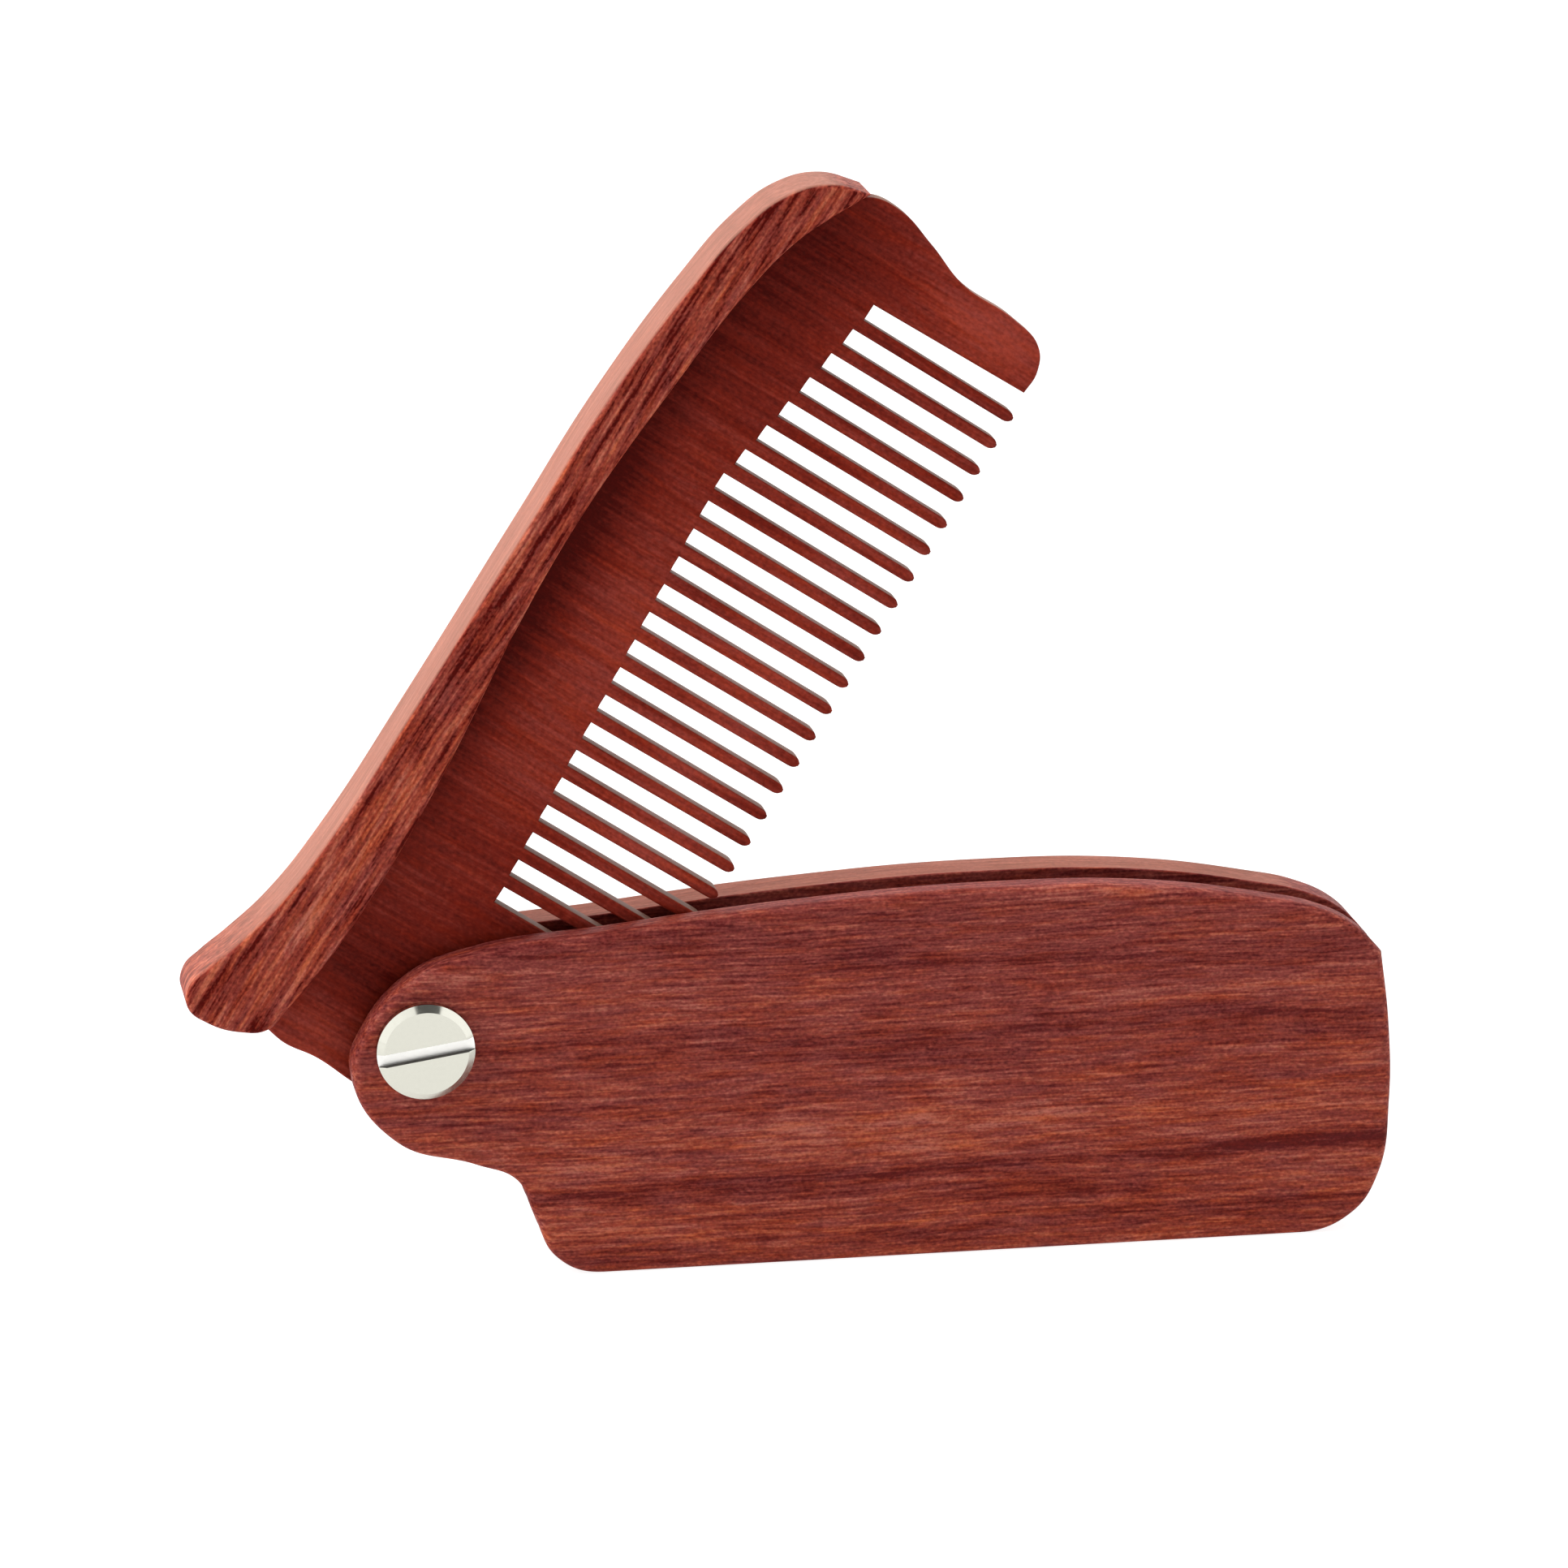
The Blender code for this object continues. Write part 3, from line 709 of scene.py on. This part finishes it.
def turned_piece(name, profile, steps=128):
    """A turned piece along Y, from rows of radius and y, outer side first."""
    mesh = bpy.data.meshes.new(name)
    mesh.from_pydata([(radius, 0.0, y) for radius, y in profile],
                     [(i, i + 1) for i in range(len(profile) - 1)], [])
    obj = add_object(name, mesh)
    screw = obj.modifiers.new("turn", "SCREW")
    screw.axis = "Z"
    screw.steps = screw.render_steps = steps
    screw.use_merge_vertices = True
    screw.merge_threshold = 0.001 * MM
    screw.use_normal_calculate = True
    bake(obj)
    shape = bmesh.new()
    shape.from_mesh(obj.data)
    shape.transform(Matrix.Rotation(math.radians(-90), 4, "X"))
    bmesh.ops.recalc_face_normals(shape, faces=shape.faces)
    # The points on the axis go, and each end becomes one flat face.
    bmesh.ops.dissolve_verts(shape, verts=[
        vert for vert in shape.verts
        if math.hypot(vert.co.x, vert.co.z) < 0.001 * MM])
    shape.to_mesh(obj.data)
    shape.free()
    return obj


def head_rows(radius, face, seat, bevel):
    """Rows of a head with a flat face and a slightly rounded bevel."""
    inward = math.copysign(math.tan(HEAD_SLOPE), seat - face)
    rows = [(0.0, face), (radius - bevel - 0.06 * MM, face)]
    for share in (0.0, 0.12, 0.88, 1.0):
        rows.append((radius - bevel * (1 - share),
                     face + inward * bevel * share))
    rows.append((radius, face + inward * (bevel + 0.08 * MM)))
    rows.append((radius, seat))
    return rows


class COMB_OT_pivot(bpy.types.Operator):
    """Build the slotted pivot screw and the post that it goes into"""
    bl_idname = "comb.pivot"
    bl_label = "Build pivot"

    def execute(self, context):
        look = context.scene.comb_pivot
        metal = nickel_plate("nickel_plated_steel", tuple(look.nickel))
        radius = (SCREW_HIGH.z - SCREW_LOW.z) / 2
        face, seat = SCREW_LOW.y, FRONT_LOW.y - HAIR
        rows = head_rows(radius, face, seat, look.head_bevel) + [
            (SHANK_RADIUS, seat), (SHANK_RADIUS, SCREW_HIGH.y),
            (0.0, SCREW_HIGH.y)]
        obj = turned_piece("slotted_screw", rows)
        cutter_mesh = bpy.data.meshes.new("driver_slot")
        shape = bmesh.new()
        bmesh.ops.create_cube(shape, size=1.0)
        bmesh.ops.scale(shape, verts=shape.verts, vec=(
            radius * 3, look.slot_depth * 2, look.slot_width))
        shape.transform(Matrix.Translation((0, face, 0))
                        @ Matrix.Rotation(-look.slot_turn, 4, "Y"))
        shape.to_mesh(cutter_mesh)
        shape.free()
        cutter = add_object("driver_slot", cutter_mesh)
        cut = obj.modifiers.new("driver_slot", "BOOLEAN")
        cut.operation = "DIFFERENCE"
        cut.object = cutter
        soft = obj.modifiers.new("soft_edges", "BEVEL")
        soft.width = 0.04 * MM
        soft.segments = 2
        soft.limit_method = "ANGLE"
        soft.angle_limit = math.radians(60)
        bake(obj)
        bpy.data.objects.remove(cutter, do_unlink=True)
        shade(obj, 40)
        across = Matrix.Rotation(-look.slot_turn, 3, "Y") @ Vector((0, 0, 1))
        # Masks of the slot's floor, for its painted highlight, and of its
        # lower wall, for its painted shadow.
        painted_floor_highlight, painted_wall_shadow = [], []
        for polygon in obj.data.polygons:
            away = abs(polygon.center.dot(across)) - look.slot_width / 2
            deep = polygon.center.y - face - look.slot_depth
            inside = max(away, deep) < 0.01 * MM
            painted_floor_highlight.append(float(inside and polygon.normal.y < -0.9))
            painted_wall_shadow.append(float(inside and polygon.normal.dot(across) > 0.7))
        for name, values in (("painted_floor_highlight", painted_floor_highlight), ("painted_wall_shadow", painted_wall_shadow)):
            layer = obj.data.attributes.new(name, "FLOAT", "FACE")
            layer.data.foreach_set("value", values)
        obj.data.transform(SHEATH_PLACE)
        finish_piece(obj, metal, "sheath", "nickel_plate", "pivot_screw")

        seat = BACK_HIGH.y + HAIR
        rows = head_rows(radius, POST_HIGH.y, seat, look.head_bevel) + [
            (BARREL_RADIUS, seat), (BARREL_RADIUS, POST_LOW.y),
            (BORE_RADIUS, POST_LOW.y), (BORE_RADIUS, POST_LOW.y + BORE_DEPTH),
            (0.0, POST_LOW.y + BORE_DEPTH)]
        obj = turned_piece("flat_post", rows)
        shade(obj, 30, weighted=False)
        obj.data.transform(SHEATH_PLACE)
        finish_piece(obj, metal, "sheath", "nickel_plate", "pivot_post")
        return {"FINISHED"}


def root_height(gap):
    """Height of the closed end of a gap; the root line bends once."""
    if gap <= ROOT_PEAK_GAP:
        return ROOT_FIRST + (ROOT_PEAK - ROOT_FIRST) * gap / ROOT_PEAK_GAP
    share = (gap - ROOT_PEAK_GAP) / (TOOTH_COUNT - ROOT_PEAK_GAP)
    return ROOT_PEAK + (ROOT_LAST - ROOT_PEAK) * share


class COMB_OT_blade(bpy.types.Operator):
    """Build the thin blade with its guards, up to the roots of the teeth"""
    bl_idname = "comb.blade"
    bl_label = "Build blade"

    def execute(self, context):
        look = context.scene.comb_comb
        wood = hardwood("red_sandalwood_blade", -REST_TURN, (
            look.blade_deep, look.blade_red, look.blade_light), BLADE_WOOD)
        rows = list(BLADE_EDGE)
        for gap in range(TOOTH_COUNT + 1):
            right = FIRST_GAP_X - gap * TOOTH_PITCH
            root = root_height(gap)
            rows += [(right, root, "C"), (right - GAP_AT_ROOT, root, "C")]
        mesh = outline_mesh("blade_plate", rows,
                            BLADE_HIGH.y - BLADE_LOW.y, 0.0)

        def width_at(middle, wall, side):
            """Leave the edge behind each tooth sharp, as it goes on there."""
            from_guard = FIRST_GAP_X - middle.x / MM
            at_root = (wall.z < -0.7 and 0.5 < middle.z / MM < ROOT_HIGHEST
                       and TOOTHED_FROM < from_guard < TOOTHED_TO)
            if at_root and from_guard % TOOTH_PITCH > GAP_AT_ROOT + 0.05:
                return 0.0
            return look.blade_edge

        obj = finished_plate("blade_plate", mesh, COMB_PLACE, width_at,
                             BLADE_PAINTED_SHEEN_WAY, segments=3)
        finish_piece(obj, wood, "comb", "blade_wood", "tooth_blade")
        return {"FINISHED"}


def tooth_tree():
    """Geometry nodes that set out a row of tapered, bullet-tipped teeth."""
    tree = bpy.data.node_groups.new("comb_teeth", "GeometryNodeTree")
    for name, kind in (
            ("Teeth", "NodeSocketInt"), ("Pitch", "NodeSocketFloat"),
            ("Length", "NodeSocketFloat"), ("Root Width", "NodeSocketFloat"),
            ("Tip Width", "NodeSocketFloat"), ("Thickness", "NodeSocketFloat"),
            ("Tip Length", "NodeSocketFloat"),
            ("First Apex", "NodeSocketVector"),
            ("Last Apex Height", "NodeSocketFloat"),
            ("Wood", "NodeSocketMaterial")):
        tree.interface.new_socket(name, in_out="INPUT", socket_type=kind)
    tree.interface.new_socket("Geometry", in_out="OUTPUT",
                              socket_type="NodeSocketGeometry")
    given = add_node(tree, "NodeGroupInput").outputs

    # One tooth: a tube whose rings become rounded rectangles, close together
    # near the tip.
    tube = add_node(tree, "GeometryNodeMeshCylinder", {
        "Vertices": 28, "Side Segments": 26, "Radius": 1.0,
        "Depth": 1.0}).outputs["Mesh"]
    position = add_node(tree, "GeometryNodeInputPosition").outputs[0]
    parts = add_node(tree, "ShaderNodeSeparateXYZ", {0: position}).outputs
    along = add_node(tree, "ShaderNodeMath", {
        0: parts["Z"], 1: 0.5}, use_clamp=True).outputs[0]
    along = add_node(tree, "ShaderNodeMath", {
        0: along, 1: 2.2}, operation="POWER").outputs[0]
    above = add_node(tree, "ShaderNodeMath", {
        0: along, 1: given["Length"]}, operation="MULTIPLY").outputs[0]
    width = add_node(tree, "ShaderNodeMapRange", {
        0: above, 1: 0.0, 2: given["Length"], 3: given["Tip Width"],
        4: given["Root Width"]}).outputs[0]
    left = add_node(tree, "ShaderNodeMapRange", {
        0: above, 1: 0.0, 2: given["Tip Length"], 3: 1.0, 4: 0.0}).outputs[0]
    square = add_node(tree, "ShaderNodeMath", {
        0: left, 1: left}, operation="MULTIPLY").outputs[0]
    square = add_node(tree, "ShaderNodeMath", {
        0: 1.0, 1: square}, operation="SUBTRACT").outputs[0]
    bullet = add_node(tree, "ShaderNodeMath", {
        0: square, 1: 0.5}, operation="POWER").outputs[0]
    bullet = add_node(tree, "ShaderNodeMath", {
        0: bullet, 1: 0.34}, operation="MAXIMUM").outputs[0]
    half_width = add_node(tree, "ShaderNodeMath", {
        0: width, 1: bullet}, operation="MULTIPLY").outputs[0]
    flatter = add_node(tree, "ShaderNodeMapRange", {
        0: bullet, 1: 0.0, 2: 1.0, 3: 0.72, 4: 1.0}).outputs[0]
    half_depth = add_node(tree, "ShaderNodeMath", {
        0: given["Thickness"], 1: flatter}, operation="MULTIPLY").outputs[0]
    sides = []
    for part, half in ((parts["X"], half_width), (parts["Y"], half_depth)):
        size = add_node(tree, "ShaderNodeMath", {
            0: part}, operation="ABSOLUTE").outputs[0]
        size = add_node(tree, "ShaderNodeMath", {
            0: size, 1: 0.25}, operation="POWER").outputs[0]
        sign = add_node(tree, "ShaderNodeMath", {
            0: part}, operation="SIGN").outputs[0]
        size = add_node(tree, "ShaderNodeMath", {
            0: size, 1: sign}, operation="MULTIPLY").outputs[0]
        size = add_node(tree, "ShaderNodeMath", {
            0: size, 1: half}, operation="MULTIPLY").outputs[0]
        sides.append(add_node(tree, "ShaderNodeMath", {
            0: size, 1: 0.5}, operation="MULTIPLY").outputs[0])
    place = add_node(tree, "ShaderNodeCombineXYZ", {
        0: sides[0], 1: sides[1], 2: above}).outputs[0]
    tooth = add_node(tree, "GeometryNodeSetPosition", {
        "Geometry": tube, "Position": place}).outputs[0]

    # The row: points along a line from the first apex to the last.
    gaps = add_node(tree, "ShaderNodeMath", {
        0: given["Teeth"], 1: 1.0}, operation="SUBTRACT").outputs[0]
    first = add_node(tree, "ShaderNodeSeparateXYZ", {
        0: given["First Apex"]}).outputs
    drop = add_node(tree, "ShaderNodeMath", {
        0: given["Last Apex Height"], 1: first["Z"]},
        operation="SUBTRACT").outputs[0]
    drop = add_node(tree, "ShaderNodeMath", {
        0: drop, 1: gaps}, operation="DIVIDE").outputs[0]
    back = add_node(tree, "ShaderNodeMath", {
        0: given["Pitch"], 1: -1.0}, operation="MULTIPLY").outputs[0]
    step = add_node(tree, "ShaderNodeCombineXYZ", {
        0: back, 1: 0.0, 2: drop}).outputs[0]
    line = add_node(tree, "GeometryNodeMeshLine", {
        "Count": given["Teeth"], "Start Location": given["First Apex"],
        "Offset": step}).outputs[0]
    row = add_node(tree, "GeometryNodeInstanceOnPoints", {
        "Points": line, "Instance": tooth}).outputs[0]
    row = add_node(tree, "GeometryNodeRealizeInstances", {0: row}).outputs[0]
    row = add_node(tree, "GeometryNodeSetMaterial", {
        "Geometry": row, "Material": given["Wood"]}).outputs[0]
    add_node(tree, "NodeGroupOutput", {0: row})
    return tree


class COMB_OT_teeth(bpy.types.Operator):
    """Build the row of teeth with geometry nodes"""
    bl_idname = "comb.teeth"
    bl_label = "Build teeth"

    def execute(self, context):
        look = context.scene.comb_comb
        wood = bpy.data.materials["red_sandalwood_blade"]
        first_x = (FIRST_GAP_X - GAP_AT_ROOT
                   - (TOOTH_PITCH - GAP_AT_ROOT) / 2) * MM
        values = {
            "Teeth": look.tooth_count, "Pitch": look.tooth_pitch,
            "Length": TOOTH_LENGTH * MM, "Root Width": look.tooth_width,
            "Tip Width": look.tip_width,
            "Thickness": BLADE_HIGH.y - BLADE_LOW.y - HAIR,
            "Tip Length": look.tip_length,
            "First Apex": (first_x, 0.0, TIPS_FIRST * MM),
            "Last Apex Height": TIPS_LAST * MM, "Wood": wood}
        tree = tooth_tree()
        obj = add_object("teeth_nodes", bpy.data.meshes.new("teeth"))
        modifier = obj.modifiers.new("teeth", "NODES")
        modifier.node_group = tree
        for item in tree.interface.items_tree:
            if item.in_out == "INPUT":
                modifier[item.identifier] = values[item.name]
        mesh = evaluated_mesh(obj)
        bpy.data.objects.remove(obj, do_unlink=True)
        mesh.name = "teeth"
        mesh.transform(COMB_PLACE)
        obj = add_object("teeth", mesh)
        shade(obj, 60, weighted=False)
        mark_painted_sheen(mesh, BLADE_PAINTED_SHEEN_WAY)
        finish_piece(obj, wood, "comb", "blade_wood", "tooth_blade")
        return {"FINISHED"}


class COMB_OT_spine(bpy.types.Operator):
    """Build the thick back strip with its horn-shaped thumb end"""
    bl_idname = "comb.spine"
    bl_label = "Build spine"

    def execute(self, context):
        look = context.scene.comb_comb
        wood = hardwood("oiled_bubinga_spine", -REST_TURN, (
            look.spine_dark, look.spine_brown, look.spine_red,
            look.spine_light), SPINE_WOOD)
        mesh = outline_mesh("spine_strip", SPINE_OUTLINE,
                            SPINE_HIGH.y - SPINE_LOW.y, 0.0, clear=1.4 * MM)
        obj = finished_plate("spine_strip", mesh, COMB_PLACE,
                             lambda middle, wall, side: look.spine_edge,
                             SPINE_PAINTED_SHEEN_WAY)
        finish_piece(obj, wood, "comb", "spine_wood", "spine")
        return {"FINISHED"}


# Studio

CAMERA_TARGET = Vector((-0.017453, 0.0, 0.049819))
CAMERA_DISTANCE = 0.7002
CAMERA_SIDE = math.radians(10.0)        # towards the pivot end
CAMERA_RISE = math.radians(16.0)
CAMERA_ROLL = math.radians(0.196)
CAMERA_LENS = 158.4

# The key lamp looks at the camera's target from this way.
KEY_WAY = Vector((-0.70, -0.03, 0.71))
KEY_DISTANCE, KEY_SIZE, KEY_POWER = 0.9, 0.5, 8.0

FLOOR_RADIUS = 6.0
RIG_WAY = (0.167, -0.436, 0.885)        # from the part to the overhead rig


def look_along(direction, roll=0.0):
    """Axes of a camera or lamp that looks against this direction."""
    back = direction.normalized()
    right = Vector((0, 0, 1)).cross(back).normalized()
    up = back.cross(right)
    side = right * math.cos(roll) + up * math.sin(roll)
    top = -right * math.sin(roll) + up * math.cos(roll)
    return Matrix((side, top, back)).transposed().to_4x4()


class COMB_OT_stage(bpy.types.Operator):
    """Build the pale floor, the soft lamp, the surroundings and the camera"""
    bl_idname = "comb.stage"
    bl_label = "Build stage"

    def execute(self, context):
        scene = context.scene
        mesh = bpy.data.meshes.new("floor")
        shape = bmesh.new()
        bmesh.ops.create_circle(shape, cap_ends=True, segments=64,
                                radius=FLOOR_RADIUS)
        shape.to_mesh(mesh)
        shape.free()
        floor = add_object("floor", mesh)
        floor.location.z = -0.05 * MM
        # Opal acrylic with light behind it: matt, and white to the horizon.
        opal = bpy.data.materials.new("backlit_opal_acrylic")
        opal.use_nodes = True
        shader = opal.node_tree.nodes["Principled BSDF"]
        shader.inputs["Base Color"].default_value = linear("#898988")
        shader.inputs["Roughness"].default_value = 0.9
        shader.inputs["Specular IOR Level"].default_value = 0.1
        shader.inputs["Emission Color"].default_value = (1.0, 1.0, 1.0, 1.0)
        shader.inputs["Emission Strength"].default_value = 0.88
        mesh.materials.append(opal)

        # White walls and ceiling, a dark side behind the camera and a dark
        # round rig overhead.
        world = bpy.data.worlds.new("white_walled_studio")
        scene.world = world
        world.use_nodes = True
        tree = world.node_tree
        towards = add_node(tree, "ShaderNodeTexCoord").outputs["Generated"]
        parts = add_node(tree, "ShaderNodeSeparateXYZ", {0: towards}).outputs
        walls = add_node(tree, "ShaderNodeMapRange", {
            0: parts["Y"], 1: -0.85, 2: -0.40, 3: 0.1, 4: 1.6},
            interpolation_type="SMOOTHSTEP").outputs[0]
        above = add_node(tree, "ShaderNodeVectorMath", {
            0: towards, 1: RIG_WAY},
            operation="DOT_PRODUCT").outputs["Value"]
        rig = add_node(tree, "ShaderNodeMapRange", {
            0: above, 1: 0.935, 2: 0.955, 3: 1.0, 4: 0.1},
            interpolation_type="SMOOTHSTEP").outputs[0]
        glow = add_node(tree, "ShaderNodeMath", {
            0: walls, 1: rig}, operation="MULTIPLY").outputs[0]
        tree.links.new(glow, tree.nodes["Background"].inputs["Strength"])
        tree.nodes["Background"].inputs["Color"].default_value = (
            1.0, 1.0, 1.0, 1.0)

        data = bpy.data.lights.new("key_softbox", "AREA")
        data.shape = "SQUARE"
        data.size = KEY_SIZE
        data.energy = KEY_POWER
        lamp = add_object("key_softbox", data)
        lamp.matrix_world = Matrix.Translation(
            CAMERA_TARGET + KEY_WAY.normalized() * KEY_DISTANCE
        ) @ look_along(KEY_WAY)

        back = Vector((-math.sin(CAMERA_SIDE) * math.cos(CAMERA_RISE),
                       -math.cos(CAMERA_SIDE) * math.cos(CAMERA_RISE),
                       math.sin(CAMERA_RISE)))
        data = bpy.data.cameras.new("camera")
        data.lens = CAMERA_LENS
        data.sensor_width = 36.0
        data.clip_start = 0.01
        camera = add_object("camera", data)
        camera.matrix_world = Matrix.Translation(
            CAMERA_TARGET + back * CAMERA_DISTANCE
        ) @ look_along(back, CAMERA_ROLL)
        scene.camera = camera
        scene.view_settings.view_transform = "Standard"
        return {"FINISHED"}


class COMB_PT_panel(bpy.types.Panel):
    """Lists the comb's operators and settings in the sidebar"""
    bl_idname = "COMB_PT_panel"
    bl_label = "Folding comb"
    bl_space_type = "VIEW_3D"
    bl_region_type = "UI"
    bl_category = "Comb"

    def draw(self, context):
        scene = context.scene
        for settings, operators in (
                (scene.comb_sheath, (COMB_OT_sheath,)),
                (scene.comb_pivot, (COMB_OT_pivot,)),
                (scene.comb_comb,
                 (COMB_OT_blade, COMB_OT_teeth, COMB_OT_spine)),
                (None, (COMB_OT_stage,))):
            box = self.layout.box()
            for operator in operators:
                box.operator(operator.bl_idname)
            if settings:
                for key in settings.bl_rna.properties.keys():
                    if key not in ("rna_type", "name"):
                        box.prop(settings, key)


CLASSES = (COMB_PG_sheath, COMB_PG_comb, COMB_PG_pivot, COMB_OT_sheath,
           COMB_OT_pivot, COMB_OT_blade, COMB_OT_teeth, COMB_OT_spine,
           COMB_OT_stage, COMB_PT_panel)


def register():
    for cls in CLASSES:
        bpy.utils.register_class(cls)
    bpy.types.Scene.comb_sheath = PointerProperty(type=COMB_PG_sheath)
    bpy.types.Scene.comb_comb = PointerProperty(type=COMB_PG_comb)
    bpy.types.Scene.comb_pivot = PointerProperty(type=COMB_PG_pivot)


def unregister():
    del bpy.types.Scene.comb_pivot
    del bpy.types.Scene.comb_comb
    del bpy.types.Scene.comb_sheath
    for cls in reversed(CLASSES):
        bpy.utils.unregister_class(cls)


def main():
    register()
    bpy.ops.comb.sheath()
    bpy.ops.comb.pivot()
    bpy.ops.comb.blade()
    bpy.ops.comb.teeth()
    bpy.ops.comb.spine()
    bpy.ops.comb.stage()


if __name__ == "__main__":
    main()
